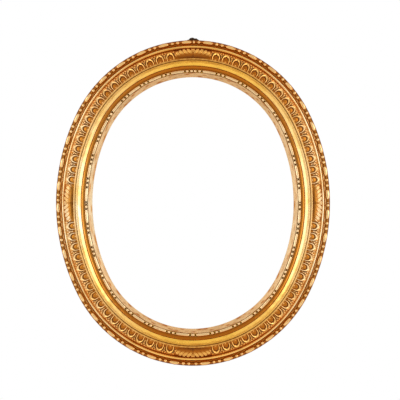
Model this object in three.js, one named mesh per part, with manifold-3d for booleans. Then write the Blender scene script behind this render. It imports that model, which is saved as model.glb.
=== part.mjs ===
// Carved and gilded oval picture frame, built up as frame makers build one: four back rails joined by
// butterfly keys, four carved rails and four liner rails glued on with staggered joints, applied bead
// courses, leaf clasps over the carved joints, a ring to hang it by and turn buttons for the picture.
// Millimetres, +X right, +Z up. The wall is the plane y = 0 and the carved front faces -Y.
import * as THREE from "three";
import { mergeVertices } from "three/addons/utils/BufferGeometryUtils.js";
import Module from "manifold-3d";

const wasm = await Module();
wasm.setup();

// The sight opening is a four-centre oval, and every other line of the frame runs parallel to it.
const SIGHT_WIDTH = 400;
const SIGHT_HEIGHT = 500;
const END_RADIUS_LESS = 15; // the ends are rounded to half the sight width less this

// Widths of the courses, from the outer edge inwards.
const OUTER_BEAD_WIDTH = 8.6;
const GROOVE_WIDTH = 2.8;
const FILLET_WIDTH = 5.4;
const QUIRK_WIDTH = 1.2;
const OVOLO_WIDTH = 18.4;
const RIDGE_WIDTH = 4.2;
const BAND_WIDTH = 10.4;
const HOLLOW_WIDTH = 7.2;
const INNER_BEAD_WIDTH = 6.4;
const SLOPE_WIDTH = 9.4;

// Heights of the front surface above the wall.
const BACK_RAIL_DEPTH = 18;
const OUTER_SEAT_HEIGHT = 21.5;
const GROOVE_HEIGHT = 25;
const FILLET_HEIGHT = 31;
const QUIRK_HEIGHT = 27.5;
const OVOLO_FOOT_HEIGHT = 28.5;
const OVOLO_TOP_HEIGHT = 45;
const RIDGE_HEIGHT = 47;
const BAND_TOP_HEIGHT = 45;
const BAND_FOOT_HEIGHT = 36;
const HOLLOW_HEIGHT = 30;
const INNER_SEAT_HEIGHT = 27.6;
const SLOPE_TOP_HEIGHT = 30.5;
const LIP_HEIGHT = 22.5;

// Back rails, their rebate and the keys across their joints.
const BACK_INSET = 3;
const REBATE_WIDTH = 8;
const LEDGE_DEPTH = 1; // the rebate is cut this far into the back of the liner
const LEDGE_SETBACK = 0.5;
const KEY_HALF_LENGTH = 26;
const KEY_END_HALF_WIDTH = 10;
const KEY_WAIST_HALF_WIDTH = 5;
const KEY_THICKNESS = 7;

// Bead courses: the length of each bead of one repeat, and its largest radius.
const OLIVE_LENGTH = 20.8;
const OLIVE_RADIUS = 4.2;
const OUTER_PEARL_LENGTH = 13;
const OUTER_PEARL_RADIUS = 3.7;
const OUTER_NECK_RADIUS = 2.2;
const BAR_LENGTH = 28;
const BAR_RADIUS = 3.1;
const INNER_PEARL_LENGTH = 9.6;
const INNER_PEARL_RADIUS = 2.9;
const INNER_NECK_RADIUS = 1.5;
const BEAD_BACKING = 2.6;
const SEAT_MARGIN = 1; // the seat of the inner beads is this much wider than they are

// How far along each quadrant's strip the first whole repeat starts: strips are cut from longer lengths.
const OUTER_STARTS = [4.5, 0, -3, 11.5];
const INNER_STARTS = [0, 16, 12, 5];

// Egg carving: each egg lies in an arch that is closed at its outer end.
const EGG_PITCH = 21;
const EGG_HALF_WIDTH = 4.6;
const EGG_HALF_LENGTH = 5.6;
const EGG_RISE = 1.8;
const ARCH_HALF_WIDTH = 7;
const ARCH_RIM_HALF_WIDTH = 1.5;
const CARVING_RISE = 1.5;
const CARVING_SINK = 1;

// Leaf clasps over the joints of the carved rails.
const CLASP_HALF_LENGTH = 36;
const CLASP_THICKNESS = 3.6;
const CLASP_LOBES = 3;

// Hanging ring in its screw eye.
const RING_RADIUS = 14.8;
const RING_WIRE_RADIUS = 2.2;
const RING_RISE = 6;
const EYE_WIRE_RADIUS = 1.5;
const EYE_SHANK_RADIUS = 1.7;
const EYE_SHANK_DEPTH = 13;

// Turn buttons and the screws that they pivot on.
const BUTTON_ANGLES = {
  right: 0,
  top_right: 62,
  top_left: 118,
  left: 180,
  bottom_left: 242,
  bottom_right: 298,
};
const BUTTON_THICKNESS = 1.6;
const BUTTON_PIVOT_RADIUS = 6;
const BUTTON_NOSE_RADIUS = 3.5;
const BUTTON_NOSE_REACH = 11;
const PIVOT_SETBACK = 8;
const SCREW_HEAD_RADIUS = 3.4;
const SCREW_HEAD_HEIGHT = 1.8;
const SCREW_SHOULDER_RADIUS = 1.9;
const SCREW_SHANK_RADIUS = 1.5;
const SCREW_SHANK_DEPTH = 11;

// Clearances: glued faces, let-in keys, turning pieces and pilot holes.
const GLUE_LINE = 0.2;
const KEY_CLEARANCE = 0.3;
const PIVOT_CLEARANCE = 0.3;
const PILOT_CLEARANCE = 0.4;

// Facets.
const BACK_STEPS = 16;
const RAIL_STEPS = 12;
const ROUND_SIDES = 8;

// Where each course starts, measured inwards from the outer edge.
const U_GROOVE = OUTER_BEAD_WIDTH;
const U_FILLET = U_GROOVE + GROOVE_WIDTH;
const U_QUIRK = U_FILLET + FILLET_WIDTH;
const U_OVOLO = U_QUIRK + QUIRK_WIDTH;
const U_RIDGE = U_OVOLO + OVOLO_WIDTH;
const U_BAND = U_RIDGE + RIDGE_WIDTH;
const U_HOLLOW = U_BAND + BAND_WIDTH;
const U_INNER_BEAD = U_HOLLOW + HOLLOW_WIDTH;
const U_SLOPE = U_INNER_BEAD + INNER_BEAD_WIDTH;
const MOULDING_WIDTH = U_SLOPE + SLOPE_WIDTH;
const U_REBATE = MOULDING_WIDTH - REBATE_WIDTH;
const FRONT_BASE = BACK_RAIL_DEPTH + GLUE_LINE;

// The four centres: side arcs of a large radius from the horizontal axis, end arcs from the vertical one.
const SIDE_HALF = SIGHT_WIDTH / 2;
const END_HALF = SIGHT_HEIGHT / 2;
const SIGHT_END_RADIUS = SIDE_HALF - END_RADIUS_LESS;
const END_CENTRE = END_HALF - SIGHT_END_RADIUS;
const SIGHT_SIDE_RADIUS =
  (SIDE_HALF ** 2 + END_HALF ** 2 - 2 * END_HALF * SIGHT_END_RADIUS) / (2 * END_RADIUS_LESS);
const SIDE_CENTRE = SIGHT_SIDE_RADIUS - SIDE_HALF;
const SIDE_RADIUS = SIGHT_SIDE_RADIUS + MOULDING_WIDTH;
const END_RADIUS = SIGHT_END_RADIUS + MOULDING_WIDTH;
const SIDE_ANGLE = Math.atan2(END_CENTRE, SIDE_CENTRE);
const OUTER_TOP = END_HALF + MOULDING_WIDTH;

const QUARTER = Math.PI / 2;
const QUADRANTS = ["top_right", "top_left", "bottom_left", "bottom_right"];
const SIDES = ["right", "top", "left", "bottom"];

// The point at the normal direction phi, u inwards from the outer edge and h forwards from the wall.
function onFrame(phi, u, h) {
  const across = Math.cos(phi);
  const up = Math.sin(phi);
  const onSide = Math.abs(Math.atan2(up, Math.abs(across))) < SIDE_ANGLE;
  const radius = (onSide ? SIDE_RADIUS : END_RADIUS) - u;
  const centreX = onSide ? -Math.sign(across) * SIDE_CENTRE : 0;
  const centreZ = onSide ? 0 : Math.sign(up) * END_CENTRE;
  return new THREE.Vector3(centreX + radius * across, -h, centreZ + radius * up);
}

// Length of a quarter of the oval that lies u inside the outer edge.
function quarterLength(u) {
  return (SIDE_RADIUS - u) * SIDE_ANGLE + (END_RADIUS - u) * (QUARTER - SIDE_ANGLE);
}

// Normal direction at a length along a quadrant, from the quadrant's own start.
function directionAt(quadrant, length, u) {
  const climbs = quadrant % 2 === 0;
  const fromSide = climbs ? length : quarterLength(u) - length;
  const sideLength = (SIDE_RADIUS - u) * SIDE_ANGLE;
  const onSide = fromSide < sideLength;
  const past = SIDE_ANGLE + (fromSide - sideLength) / (END_RADIUS - u);
  const turn = onSide ? fromSide / (SIDE_RADIUS - u) : past;
  return quadrant * QUARTER + (climbs ? turn : QUARTER - turn);
}

// Even steps of direction from one to another, with the change of arc as a step of its own.
function directions(from, to, steps) {
  const turns = Array.from({ length: steps + 1 }, (_, i) => from + ((to - from) * i) / steps);
  const changes = [];
  for (let axis = -Math.PI; axis <= 3 * Math.PI; axis += Math.PI)
    changes.push(axis - SIDE_ANGLE, axis + SIDE_ANGLE);
  const near = (to - from) / steps / 3;
  const kept = turns.filter((t, i) => i === 0 || i === steps || changes.every((c) => Math.abs(c - t) > near));
  const inside = changes.filter((c) => c > from + near && c < to - near);
  return [...kept, ...inside].sort((a, b) => a - b);
}

// A closed skin through rings of points, with flat ends cut as the section [u, h] of the first and last ring.
function loft(rings, firstSection, lastSection) {
  const count = rings[0].length;
  const position = rings.flat().flatMap((p) => [p.x, p.y, p.z]);
  const index = [];
  for (let i = 0; i + 1 < rings.length; i++)
    for (let j = 0; j < count; j++) {
      const a = i * count + j;
      const b = i * count + ((j + 1) % count);
      index.push(a, b, a + count, b, b + count, a + count);
    }
  const last = (rings.length - 1) * count;
  const flat = (section) => section.map(([u, h]) => new THREE.Vector2(u, h));
  for (const [a, b, c] of THREE.ShapeUtils.triangulateShape(flat(firstSection), [])) index.push(c, b, a);
  for (const [a, b, c] of THREE.ShapeUtils.triangulateShape(flat(lastSection), []))
    index.push(last + a, last + b, last + c);
  const geometry = new THREE.BufferGeometry();
  geometry.setAttribute("position", new THREE.Float32BufferAttribute(position, 3));
  geometry.setIndex(index);
  return geometry;
}

// A moulding of one section [u, h] along the oval, trimmed at both ends by half a glue line.
function moulding(section, from, to, steps) {
  const trim = GLUE_LINE / 2 / (END_RADIUS - MOULDING_WIDTH);
  const turns = directions(from + trim, to - trim, steps);
  const rings = turns.map((phi) => section.map(([u, h]) => onFrame(phi, u, h)));
  return loft(rings, section, section);
}

// Points of an elliptic arc in a section, about a centre [u, h].
function sectionArc(u, h, radiusU, radiusH, from, to, steps) {
  return Array.from({ length: steps + 1 }, (_, i) => {
    const t = THREE.MathUtils.degToRad(from + ((to - from) * i) / steps);
    return [u + radiusU * Math.cos(t), h + radiusH * Math.sin(t)];
  });
}

// Boolean cuts and joins.
function solidOf(geometry) {
  const bare = geometry.clone();
  bare.deleteAttribute("normal");
  bare.deleteAttribute("uv");
  const merged = mergeVertices(bare, 1e-4);
  const mesh = new wasm.Mesh({
    numProp: 3,
    vertProperties: merged.attributes.position.array,
    triVerts: new Uint32Array(merged.index.array),
  });
  return new wasm.Manifold(mesh);
}

function geometryOf(solid) {
  const { vertProperties, triVerts } = solid.getMesh();
  const geometry = new THREE.BufferGeometry();
  geometry.setAttribute("position", new THREE.Float32BufferAttribute(vertProperties, 3));
  geometry.setIndex([...triVerts]);
  return geometry;
}

// Finishes.
function finish(color, roughness, metalness) {
  return new THREE.MeshStandardMaterial({ color, roughness, metalness });
}
const GILT = finish(0xcf8f33, 0.38, 0.85);
const BURNISHED = finish(0xe2b257, 0.25, 0.9);
const BARE_WOOD = finish(0xa47f52, 0.8, 0);
const KEY_WOOD = finish(0x7c5a36, 0.75, 0);
const IRON = finish(0x3b342d, 0.6, 0.8);
const BRASS = finish(0xb08d45, 0.35, 0.9);

const frame = new THREE.Group();

function place(name, geometry, material, parent = frame) {
  const mesh = new THREE.Mesh(geometry, material);
  mesh.name = name;
  parent.add(mesh);
  return mesh;
}

// A group on the wall plane whose +X points outwards along the normal direction phi.
function stationGroup(phi, u) {
  const group = new THREE.Group();
  group.position.copy(onFrame(phi, u, 0));
  group.rotation.y = -phi;
  frame.add(group);
  return group;
}

// A shape drawn in the wall plane, given thickness forwards into the frame.
function letIn(shape, thickness, segments) {
  const options = { depth: thickness, bevelEnabled: false, curveSegments: segments };
  return new THREE.ExtrudeGeometry(shape, options).rotateX(QUARTER);
}

function butterfly(clearance) {
  const length = KEY_HALF_LENGTH + clearance;
  const end = KEY_END_HALF_WIDTH + clearance;
  const waist = KEY_WAIST_HALF_WIDTH + clearance;
  const outline = [[-end, -length], [end, -length], [waist, 0], [end, length], [-end, length], [-waist, 0]];
  return new THREE.Shape(outline.map(([x, y]) => new THREE.Vector2(x, y)));
}

function blindHole(radius, depth) {
  const above = 1;
  const hole = new THREE.CylinderGeometry(radius, radius, depth + above, ROUND_SIDES);
  return hole.translate(0, (above - depth) / 2, 0);
}

// A cutter or piece made at the origin, moved to a station of the frame.
function atStation(geometry, phi, u) {
  const point = onFrame(phi, u, 0);
  return geometry.clone().rotateY(-phi).translate(point.x, point.y, point.z);
}

const KEY_U = (BACK_INSET + U_REBATE) / 2;
const PIVOT_U = U_REBATE - PIVOT_SETBACK;
const { degToRad } = THREE.MathUtils;
const BUTTONS = Object.entries(BUTTON_ANGLES).map(([name, degrees]) => [name, degToRad(degrees)]);
const EYE_Z = OUTER_TOP + RING_RISE - 2 * RING_RADIUS - RING_WIRE_RADIUS;
const EYE_RADIUS = RING_WIRE_RADIUS + PIVOT_CLEARANCE + EYE_WIRE_RADIUS;
const EYE_STANDOFF = EYE_RADIUS + EYE_WIRE_RADIUS + PIVOT_CLEARANCE;

// Back rails, joined on the diagonals, with pockets for the keys and pilot holes for the metalwork.
function makeBackRails() {
  const section = [
    [BACK_INSET, 0],
    [U_REBATE, 0],
    [U_REBATE, BACK_RAIL_DEPTH],
    [BACK_INSET, BACK_RAIL_DEPTH],
  ];
  const pocket = letIn(butterfly(KEY_CLEARANCE), KEY_THICKNESS + KEY_CLEARANCE, 1);
  const opened = letIn(butterfly(KEY_CLEARANCE), 1, 1).translate(0, 1, 0);
  const pilot = blindHole(SCREW_SHANK_RADIUS + PILOT_CLEARANCE, SCREW_SHANK_DEPTH + PILOT_CLEARANCE);
  const eyeHole = blindHole(EYE_SHANK_RADIUS + PILOT_CLEARANCE, EYE_SHANK_DEPTH + PILOT_CLEARANCE);
  const cutters = [eyeHole.translate(0, 0, EYE_Z)];
  for (let i = 0; i < 4; i++)
    for (const cut of [pocket, opened]) cutters.push(atStation(cut, (i + 0.5) * QUARTER, KEY_U));
  for (const [, phi] of BUTTONS) cutters.push(atStation(pilot, phi, PIVOT_U));
  const solids = cutters.map(solidOf);
  SIDES.forEach((side, i) => {
    const from = (i - 0.5) * QUARTER;
    let rail = solidOf(moulding(section, from, from + QUARTER, BACK_STEPS));
    for (const cutter of solids) rail = rail.subtract(cutter);
    place(`back_rail_${side}`, geometryOf(rail), BARE_WOOD);
  });
}

// Butterfly keys, flush with the back across the joints of the back rails.
function makeKeys() {
  const key = letIn(butterfly(0), KEY_THICKNESS, 1);
  QUADRANTS.forEach((name, i) => {
    place(`joint_key_${name}`, key, KEY_WOOD, stationGroup((i + 0.5) * QUARTER, KEY_U));
  });
}

// The convex carved course is an arc of an ellipse, from its outer foot up to the ridge.
const OVOLO_START = degToRad(170);
const OVOLO_END = degToRad(92);
const OVOLO_RADIUS_U = OVOLO_WIDTH / (Math.cos(OVOLO_END) - Math.cos(OVOLO_START));
const OVOLO_RISE = OVOLO_TOP_HEIGHT - OVOLO_FOOT_HEIGHT;
const OVOLO_RADIUS_H = OVOLO_RISE / (Math.sin(OVOLO_END) - Math.sin(OVOLO_START));
const OVOLO_LENGTH = (OVOLO_START - OVOLO_END) * (OVOLO_RADIUS_U + OVOLO_RADIUS_H) / 2;
const OVOLO_MID = U_OVOLO + OVOLO_WIDTH / 2;

// The section point a share of the way across the course, from its foot (0) to the ridge (1), lifted off it.
function ovoloPoint(share, lift) {
  const t = OVOLO_START + (OVOLO_END - OVOLO_START) * share;
  const u = U_OVOLO + OVOLO_RADIUS_U * (Math.cos(t) - Math.cos(OVOLO_START));
  const h = OVOLO_FOOT_HEIGHT + OVOLO_RADIUS_H * (Math.sin(t) - Math.sin(OVOLO_START));
  return [u + lift * Math.cos(t), h + lift * Math.sin(t)];
}

function ovoloPoints(lift, from, to, steps) {
  return Array.from({ length: steps + 1 }, (_, i) => ovoloPoint(from + ((to - from) * i) / steps, lift));
}

// The point of the carved course at a length along a quadrant.
function onOvolo(quadrant, along, share, lift) {
  return onFrame(directionAt(quadrant, along, OVOLO_MID), ...ovoloPoint(share, lift));
}

// A raised rib along a path of [length, share] on the carved course, its foot sunk into the rail.
function rib(quadrant, path, halfWidth) {
  const flat = path.map(([along, share]) => new THREE.Vector2(along, share * OVOLO_LENGTH));
  const rings = path.map(([along, share], i) => {
    const ahead = flat[Math.min(i + 1, path.length - 1)].clone().sub(flat[Math.max(i - 1, 0)]);
    const side = ahead.setLength(halfWidth);
    const foot = (sign) => {
      const footShare = share + (sign * side.x) / OVOLO_LENGTH;
      return onOvolo(quadrant, along - sign * side.y, footShare, -CARVING_SINK);
    };
    return [foot(-1), foot(1), onOvolo(quadrant, along, share, CARVING_RISE)];
  });
  const triangle = [[0, 0], [1, 0], [0, 1]];
  return loft(rings, triangle, triangle);
}

// An egg half sunk into the carved course.
function egg(quadrant, along) {
  const share = 0.78;
  const step = 0.01;
  const middle = onOvolo(quadrant, along, share, 0);
  const ahead = onOvolo(quadrant, along + 1, share, 0).sub(middle).normalize();
  const across = onOvolo(quadrant, along, share + step, 0).sub(middle).normalize();
  const out = ahead.clone().cross(across);
  const turn = new THREE.Matrix4().makeBasis(ahead, across, out).setPosition(middle);
  const ball = new THREE.SphereGeometry(1, 6, 3).rotateX(QUARTER);
  return ball.scale(EGG_HALF_WIDTH, EGG_HALF_LENGTH, EGG_RISE).applyMatrix4(turn);
}

// The eggs and arches of one quadrant, between the leaf clasps at its two ends.
function carving(quadrant) {
  const run = quarterLength(OVOLO_MID) - 2 * CLASP_HALF_LENGTH;
  const eggs = Math.round(run / EGG_PITCH);
  const pitch = run / eggs;
  const arch = [[-1, 0.96], [-0.85, 0.64], [0, 0.43], [0.85, 0.64], [1, 0.96]];
  const pieces = [];
  for (let i = 0; i < eggs; i++) {
    const middle = CLASP_HALF_LENGTH + (i + 0.5) * pitch;
    const path = arch.map(([across, share]) => [middle + across * ARCH_HALF_WIDTH, share]);
    pieces.push(egg(quadrant, middle), rib(quadrant, path, ARCH_RIM_HALF_WIDTH));
  }
  return pieces.map(solidOf);
}

// Carved rails, joined on the axes under the leaf clasps.
function makeCarvedRails() {
  const filletRadius = FILLET_WIDTH / 2;
  const filletMid = U_FILLET + filletRadius;
  const wall = GLUE_LINE;
  const inner = U_BAND - GLUE_LINE / 2;
  const section = [
    [inner, FRONT_BASE],
    [inner, RIDGE_HEIGHT - RIDGE_WIDTH / 4],
    [inner - RIDGE_WIDTH / 4, RIDGE_HEIGHT],
    [U_RIDGE + RIDGE_WIDTH / 8, RIDGE_HEIGHT],
    ...ovoloPoints(0, 1, 0, 4),
    [U_QUIRK, QUIRK_HEIGHT],
    ...sectionArc(filletMid, FILLET_HEIGHT - filletRadius, filletRadius, filletRadius, 20, 180, 4),
    [U_FILLET, GROOVE_HEIGHT],
    [U_GROOVE, GROOVE_HEIGHT],
    [U_GROOVE, OUTER_SEAT_HEIGHT],
    [wall, OUTER_SEAT_HEIGHT],
    [wall, FRONT_BASE],
  ];
  QUADRANTS.forEach((name, i) => {
    const rail = solidOf(moulding(section, i * QUARTER, (i + 1) * QUARTER, RAIL_STEPS));
    place(`carved_rail_${name}`, geometryOf(wasm.Manifold.union([rail, ...carving(i)])), GILT);
  });
}

// Liner rails: the burnished band, the hollow, the seat of the inner beads and the sight slope with its lip.
function makeLiners() {
  const outer = U_BAND + GLUE_LINE / 2;
  const edge = 0.6;
  const seat = U_INNER_BEAD - SEAT_MARGIN;
  const hollowDepth = BAND_FOOT_HEIGHT - edge - HOLLOW_HEIGHT;
  const ledge = U_REBATE + LEDGE_SETBACK;
  const section = [
    [ledge, FRONT_BASE],
    [ledge, FRONT_BASE + LEDGE_DEPTH],
    [MOULDING_WIDTH, FRONT_BASE + LEDGE_DEPTH],
    [MOULDING_WIDTH, LIP_HEIGHT],
    [(MOULDING_WIDTH + U_SLOPE) / 2, (LIP_HEIGHT + SLOPE_TOP_HEIGHT) / 2 + edge],
    [U_SLOPE + edge, SLOPE_TOP_HEIGHT],
    [U_SLOPE, INNER_SEAT_HEIGHT],
    [seat, INNER_SEAT_HEIGHT],
    ...sectionArc(seat, BAND_FOOT_HEIGHT - edge, seat - U_HOLLOW, hollowDepth, -90, -180, 3),
    [U_HOLLOW, BAND_FOOT_HEIGHT],
    [U_BAND + BAND_WIDTH / 2, (BAND_FOOT_HEIGHT + BAND_TOP_HEIGHT) / 2 - edge],
    [outer + edge, BAND_TOP_HEIGHT],
    [outer, BAND_TOP_HEIGHT - edge],
    [outer, FRONT_BASE],
  ];
  QUADRANTS.forEach((name, i) => {
    place(`liner_${name}`, moulding(section, i * QUARTER, (i + 1) * QUARTER, RAIL_STEPS), BURNISHED);
  });
}

// Stations of one bead of a course: the share of its half length from its middle, and of its swell there.
const ROUND_BEAD = [[-1, 0], [-0.5, 0.95], [0.5, 0.95]];
const BLUNT_BEAD = [[-1, 0], [-0.82, 1], [0, 1], [0.82, 1]];

// Stations [length, radius] of a course of beads, with whole repeats before and after a quadrant's own.
function beadStations(start, stretch, repeats, { neck, beads }) {
  const stations = [];
  let from = start;
  for (let i = 0; i < repeats; i++)
    for (const bead of beads) {
      const half = (bead.length * stretch) / 2;
      for (const [along, swell] of bead.form)
        stations.push([from + half * (1 + along), neck + (bead.radius - neck) * swell]);
      from += 2 * half;
    }
  return stations;
}

// The same stations cut to a strip's own length. The cut may go through a bead.
function cutStations(stations, first, last) {
  const shortest = 0.6;
  const inside = stations.filter(([along]) => along > first + shortest && along < last - shortest);
  const cut = (place) => {
    const next = stations.findIndex(([along]) => along > place);
    const [[a, radiusA], [b, radiusB]] = [stations[next - 1], stations[next]];
    return [place, radiusA + ((radiusB - radiusA) * (place - a)) / (b - a)];
  };
  return [cut(first), ...inside, cut(last)];
}

// One quadrant of a bead course: a half-round strip that swells at each bead and draws in between them.
function beadStrip(quadrant, course) {
  const { middle, seat, width, starts, beads } = course;
  const length = quarterLength(middle);
  const repeat = beads.reduce((sum, bead) => sum + bead.length, 0);
  const repeats = Math.round(length / repeat);
  const pitch = length / repeats;
  const whole = beadStations(starts[quadrant] - pitch, pitch / repeat, repeats + 2, course);
  const stations = cutStations(whole, GLUE_LINE / 2, length - GLUE_LINE / 2);
  const foot = width / 2 - 2 * GLUE_LINE;
  const base = seat + GLUE_LINE;
  const sections = stations.map(([, radius]) => [
    [middle + foot, base],
    ...sectionArc(middle, base + BEAD_BACKING, radius, radius, 15, 165, 2),
    [middle - foot, base],
  ]);
  const rings = stations.map(([along], i) => {
    const phi = directionAt(quadrant, along, middle);
    return sections[i].map(([u, h]) => onFrame(phi, u, h));
  });
  return loft(rings, sections[0], sections[sections.length - 1]);
}

function makeBeadCourses() {
  const outerPearl = { length: OUTER_PEARL_LENGTH, radius: OUTER_PEARL_RADIUS, form: ROUND_BEAD };
  const innerPearl = { length: INNER_PEARL_LENGTH, radius: INNER_PEARL_RADIUS, form: ROUND_BEAD };
  const outer = {
    middle: OUTER_BEAD_WIDTH / 2,
    seat: OUTER_SEAT_HEIGHT,
    width: OUTER_BEAD_WIDTH - 2 * GLUE_LINE,
    neck: OUTER_NECK_RADIUS,
    starts: OUTER_STARTS,
    beads: [{ length: OLIVE_LENGTH, radius: OLIVE_RADIUS, form: ROUND_BEAD }, outerPearl, outerPearl],
  };
  const inner = {
    middle: U_INNER_BEAD + INNER_BEAD_WIDTH / 2,
    seat: INNER_SEAT_HEIGHT,
    width: INNER_BEAD_WIDTH - 2 * GLUE_LINE,
    neck: INNER_NECK_RADIUS,
    starts: INNER_STARTS,
    beads: [{ length: BAR_LENGTH, radius: BAR_RADIUS, form: BLUNT_BEAD }, innerPearl, innerPearl],
  };
  QUADRANTS.forEach((name, i) => {
    place(`outer_beading_${name}`, beadStrip(i, outer), GILT);
    place(`inner_beading_${name}`, beadStrip(i, inner), GILT);
  });
}

// Leaf clasps: two lobed leaves back to back along the carved course, over the joint of two carved rails.
function makeClasps() {
  const steps = 4 * CLASP_LOBES;
  const stations = Array.from({ length: steps + 1 }, (_, i) => (2 * i) / steps - 1);
  const sections = stations.map((along) => {
    const outward = Math.abs(along);
    const lobe = 0.5 + 0.5 * Math.cos(2 * Math.PI * outward * CLASP_LOBES);
    const breadth = (0.47 - 0.25 * outward ** 2) * (0.78 + 0.22 * lobe);
    const thickness = CLASP_THICKNESS * (1 - 0.6 * outward ** 2) * (0.75 + 0.25 * lobe);
    const under = ovoloPoints(GLUE_LINE, 0.5 - breadth, 0.5 + breadth, 4);
    const top = ovoloPoints(GLUE_LINE + thickness, 0.5 + 0.75 * breadth, 0.5 - 0.75 * breadth, 4);
    return [...under, ...top];
  });
  SIDES.forEach((side, i) => {
    const rings = stations.map((along, j) => {
      const reach = along * CLASP_HALF_LENGTH;
      const ahead = along > 0;
      const length = ahead ? reach : quarterLength(OVOLO_MID) + reach;
      const phi = directionAt(ahead ? i : (i + 3) % 4, length, OVOLO_MID);
      return sections[j].map(([u, h]) => onFrame(phi, u, h));
    });
    place(`acanthus_clasp_${side}`, loft(rings, sections[0], sections[steps]), GILT);
  });
}

// The ring stands up behind the top rail, and its lowest point runs through the eye.
function makeHanger() {
  const hanger = new THREE.Group();
  hanger.position.set(0, EYE_STANDOFF, EYE_Z);
  frame.add(hanger);
  const loop = new THREE.TorusGeometry(EYE_RADIUS, EYE_WIRE_RADIUS, 6, 14).rotateY(QUARTER);
  const shankStart = EYE_RADIUS;
  const shankLength = EYE_STANDOFF - shankStart + EYE_SHANK_DEPTH;
  const shank = new THREE.CylinderGeometry(EYE_SHANK_RADIUS, EYE_SHANK_RADIUS, shankLength, ROUND_SIDES);
  shank.translate(0, -shankStart - shankLength / 2, 0);
  place("hanger_eye", geometryOf(solidOf(loop).add(solidOf(shank))), IRON, hanger);
  const ring = new THREE.TorusGeometry(RING_RADIUS, RING_WIRE_RADIUS, 6, 20).rotateX(QUARTER);
  place("hanging_ring", ring.translate(0, 0, RING_RADIUS), IRON, hanger);
}

// A brass button with a round pivot end and a narrower nose, turned aside along the rail.
function buttonShape() {
  const lean = Math.acos((BUTTON_PIVOT_RADIUS - BUTTON_NOSE_RADIUS) / BUTTON_NOSE_REACH);
  const shape = new THREE.Shape();
  shape.absarc(0, 0, BUTTON_PIVOT_RADIUS, QUARTER + lean, QUARTER - lean + 2 * Math.PI, false);
  shape.absarc(0, BUTTON_NOSE_REACH, BUTTON_NOSE_RADIUS, QUARTER - lean, QUARTER + lean, false);
  const hole = new THREE.Path();
  hole.absarc(0, 0, SCREW_SHOULDER_RADIUS + PIVOT_CLEARANCE, 0, 2 * Math.PI, true);
  shape.holes.push(hole);
  return shape;
}

function makeButtons() {
  const seat = PIVOT_CLEARANCE;
  const head = seat + BUTTON_THICKNESS + PIVOT_CLEARANCE;
  const plate = letIn(buttonShape(), BUTTON_THICKNESS, 4).translate(0, seat + BUTTON_THICKNESS, 0);
  const profile = [
    [0, -SCREW_SHANK_DEPTH],
    [SCREW_SHANK_RADIUS, -SCREW_SHANK_DEPTH + SCREW_SHANK_RADIUS],
    [SCREW_SHANK_RADIUS, seat],
    [SCREW_SHOULDER_RADIUS, seat],
    [SCREW_SHOULDER_RADIUS, head],
    [SCREW_HEAD_RADIUS, head],
    [SCREW_HEAD_RADIUS * 0.85, head + SCREW_HEAD_HEIGHT * 0.6],
    [SCREW_HEAD_RADIUS * 0.45, head + SCREW_HEAD_HEIGHT],
    [0, head + SCREW_HEAD_HEIGHT],
  ];
  const screw = new THREE.LatheGeometry(profile.map(([r, y]) => new THREE.Vector2(r, y)), ROUND_SIDES);
  for (const [name, phi] of BUTTONS) {
    const station = stationGroup(phi, PIVOT_U);
    place(`turn_button_${name}`, plate, BRASS, station);
    place(`pivot_screw_${name}`, screw, BRASS, station);
  }
}

makeBackRails();
makeKeys();
makeCarvedRails();
makeLiners();
makeBeadCourses();
makeClasps();
makeHanger();
makeButtons();

export default frame;
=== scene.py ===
"""Dressed model of a carved and gilded oval picture frame, in metres, in the frame of its solids.

Lengths below are in millimetres, as a frame maker gives them, and become metres where points are made.
u is measured inwards from the outer edge of the frame and h forwards from the back of its rails.
"""

import math
from typing import NamedTuple

import bpy
import numpy as np
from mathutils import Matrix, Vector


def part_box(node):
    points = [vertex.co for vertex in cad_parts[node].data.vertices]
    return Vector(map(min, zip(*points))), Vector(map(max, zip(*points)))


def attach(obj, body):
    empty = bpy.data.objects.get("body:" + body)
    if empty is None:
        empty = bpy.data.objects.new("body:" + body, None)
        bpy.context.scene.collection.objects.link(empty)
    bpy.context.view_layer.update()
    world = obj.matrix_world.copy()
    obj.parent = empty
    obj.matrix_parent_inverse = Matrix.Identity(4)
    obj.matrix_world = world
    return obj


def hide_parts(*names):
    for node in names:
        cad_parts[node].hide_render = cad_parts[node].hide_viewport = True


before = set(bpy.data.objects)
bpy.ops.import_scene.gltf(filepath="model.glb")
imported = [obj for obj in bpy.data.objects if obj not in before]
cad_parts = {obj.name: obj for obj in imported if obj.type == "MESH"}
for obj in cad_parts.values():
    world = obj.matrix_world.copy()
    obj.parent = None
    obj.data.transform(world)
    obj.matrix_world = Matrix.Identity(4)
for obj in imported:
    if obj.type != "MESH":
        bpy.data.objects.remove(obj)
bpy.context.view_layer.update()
scene = bpy.context.scene

MM = 0.001
QUADRANTS = ("top_right", "top_left", "bottom_left", "bottom_right")
SIDES = ("right", "top", "left", "bottom")

# Turn buttons, with how far round the frame each one stands, in degrees from its right-hand side.
BUTTONS = {"right": 0, "top_right": 62, "top_left": 118,
           "left": 180, "bottom_left": 242, "bottom_right": 298}

# The four-centre oval of the sight edge, and the courses from the outer edge inwards.
SIGHT_WIDTH = 400.0
SIGHT_HEIGHT = 500.0
END_RADIUS_LESS = 15.0
U_GROOVE = 8.6
U_FILLET = 11.4
U_QUIRK = 16.8
U_OVOLO = 18.0
U_RIDGE = 36.4
U_BAND = 40.6
U_HOLLOW = 51.0
U_INNER_SEAT = 58.4
U_INNER_BEAD = 58.2
U_SLOPE = 64.6
U_LEDGE = 66.5
MOULDING_WIDTH = 74.0

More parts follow.
